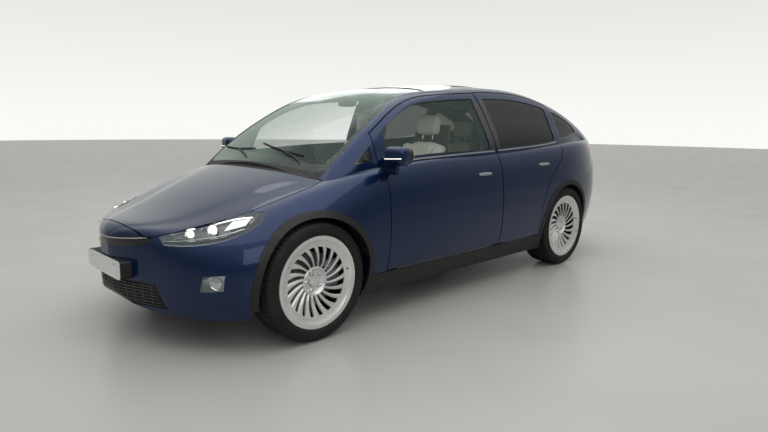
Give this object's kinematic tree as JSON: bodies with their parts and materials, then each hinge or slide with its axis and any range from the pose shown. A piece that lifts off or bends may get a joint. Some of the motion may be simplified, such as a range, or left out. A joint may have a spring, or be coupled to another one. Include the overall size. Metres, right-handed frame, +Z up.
{
  "type": "electric suv",
  "caption": "Electric family SUV with falcon-wing rear doors, opening hood, tailgate and front doors, steering and rolling wheels, seats and blank plates.",
  "frame": {"origin": "on the ground under the middle of the bounding box", "axes": "+Z up, -Y towards the nose, +X towards the car's left side"},
  "size_m": [2.2732, 5.0362, 1.6837],
  "materials": {
    "paint": "metallic gloss",
    "glass": "clear",
    "dark_glass": "tinted",
    "lamp_clear": "clear",
    "lamp_red": "gloss",
    "black_plastic": "grained",
    "structure": "satin",
    "alloy": "cast",
    "trim": "soft touch",
    "seat": "smooth",
    "tyre": "rubber",
    "wheel_silver": "painted silver",
    "disc_iron": "machined",
    "iron": "cast"
  },
  "bodies": {
    "body": {"floor_pan": "structure", "body_side_left": "paint", "body_side_right": "paint", "roof_frame": "paint", "cowl": "black_plastic", "front_structure": "structure", "rear_structure": "structure", "battery_pack": "alloy", "front_bumper": "paint", "front_fenders": "paint", "rear_bumper": "paint", "windshield": "glass", "sail_windows": "dark_glass", "quarter_windows": "dark_glass", "headlamps": "lamp_clear", "fog_lamps": "lamp_clear", "lower_grille": "black_plastic", "arch_trims": "black_plastic", "front_subframe": "structure", "rear_subframe": "structure", "drive_units": "alloy", "dashboard": "trim", "steering_wheel": "trim", "front_seats": "seat", "rear_seats": "seat", "tail_lamps": "lamp_red"},
    "knuckle_left": {"front_knuckle_left": "iron"},
    "front_door_left": {"front_door_left": "paint", "front_window_left": "glass", "mirror_left": "paint"},
    "falcon_roof_left": {"falcon_roof_panel_left": "paint", "falcon_roof_glass_left": "dark_glass"},
    "falcon_door_left": {"falcon_door_left": "paint", "falcon_window_left": "dark_glass"},
    "wheel_front_left": {"tyre_front_left": "tyre", "wheel_front_left": "wheel_silver", "brake_disc_front_left": "disc_iron"},
    "wheel_rear_left": {"tyre_rear_left": "tyre", "wheel_rear_left": "wheel_silver", "brake_disc_rear_left": "disc_iron"},
    "knuckle_right": {"front_knuckle_right": "iron"},
    "front_door_right": {"front_door_right": "paint", "front_window_right": "glass", "mirror_right": "paint"},
    "falcon_roof_right": {"falcon_roof_panel_right": "paint", "falcon_roof_glass_right": "dark_glass"},
    "falcon_door_right": {"falcon_door_right": "paint", "falcon_window_right": "dark_glass"},
    "wheel_front_right": {"tyre_front_right": "tyre", "wheel_front_right": "wheel_silver", "brake_disc_front_right": "disc_iron"},
    "wheel_rear_right": {"tyre_rear_right": "tyre", "wheel_rear_right": "wheel_silver", "brake_disc_rear_right": "disc_iron"},
    "hood": {"hood": "paint"},
    "tailgate": {"tailgate": "paint", "rear_window": "dark_glass", "tailgate_lamps": "lamp_red"}
  },
  "joints": [
    {"name": "steer_left", "type": "hinge", "parent": "body", "child": "knuckle_left", "pos_m": [0.79, -1.606, 0.373], "axis": [0, 0, 1], "range_deg": [-35, 35]},
    {"name": "front_door_left_hinge", "type": "hinge", "parent": "body", "child": "front_door_left", "pos_m": [0.975, -0.988, 0.7], "axis": [0, 0, -1], "range_deg": [0, 65]},
    {"name": "falcon_roof_left_hinge", "type": "hinge", "parent": "body", "child": "falcon_roof_left", "pos_m": [0.127, 0.782, 1.684], "axis": [0, -1, 0], "range_deg": [0, 62]},
    {"name": "falcon_elbow_left", "type": "hinge", "parent": "falcon_roof_left", "child": "falcon_door_left", "pos_m": [0.69, 0.782, 1.6], "axis": [0, -1, 0], "range_deg": [0, 10]},
    {"name": "wheel_front_left_spin", "type": "hinge", "parent": "knuckle_left", "child": "wheel_front_left", "pos_m": [0.8305, -1.606, 0.373], "axis": [1, 0, 0], "continuous": true},
    {"name": "wheel_rear_left_spin", "type": "hinge", "parent": "body", "child": "wheel_rear_left", "pos_m": [0.8495, 1.359, 0.373], "axis": [1, 0, 0], "continuous": true},
    {"name": "steer_right", "type": "hinge", "parent": "body", "child": "knuckle_right", "pos_m": [-0.79, -1.606, 0.373], "axis": [0, 0, 1], "range_deg": [-35, 35]},
    {"name": "front_door_right_hinge", "type": "hinge", "parent": "body", "child": "front_door_right", "pos_m": [-0.975, -0.988, 0.7], "axis": [0, 0, 1], "range_deg": [0, 65]},
    {"name": "falcon_roof_right_hinge", "type": "hinge", "parent": "body", "child": "falcon_roof_right", "pos_m": [-0.127, 0.782, 1.684], "axis": [0, 1, 0], "range_deg": [0, 62]},
    {"name": "falcon_elbow_right", "type": "hinge", "parent": "falcon_roof_right", "child": "falcon_door_right", "pos_m": [-0.69, 0.782, 1.6], "axis": [0, 1, 0], "range_deg": [0, 10]},
    {"name": "wheel_front_right_spin", "type": "hinge", "parent": "knuckle_right", "child": "wheel_front_right", "pos_m": [-0.8305, -1.606, 0.373], "axis": [1, 0, 0], "continuous": true},
    {"name": "wheel_rear_right_spin", "type": "hinge", "parent": "body", "child": "wheel_rear_right", "pos_m": [-0.8495, 1.359, 0.373], "axis": [1, 0, 0], "continuous": true},
    {"name": "hood_hinge", "type": "hinge", "parent": "body", "child": "hood", "pos_m": [0, -1.408, 0.975], "axis": [-1, 0, 0], "range_deg": [0, 55]},
    {"name": "tailgate_hinge", "type": "hinge", "parent": "body", "child": "tailgate", "pos_m": [0, 1.537, 1.584], "axis": [1, 0, 0], "range_deg": [0, 70]}
  ],
  "couplings": [
    {"joint": "steer_right", "follows": "steer_left", "ratio": 1},
    {"joint": "falcon_elbow_left", "follows": "falcon_roof_left_hinge", "ratio": 0.15},
    {"joint": "falcon_elbow_right", "follows": "falcon_roof_right_hinge", "ratio": 0.15}
  ]
}
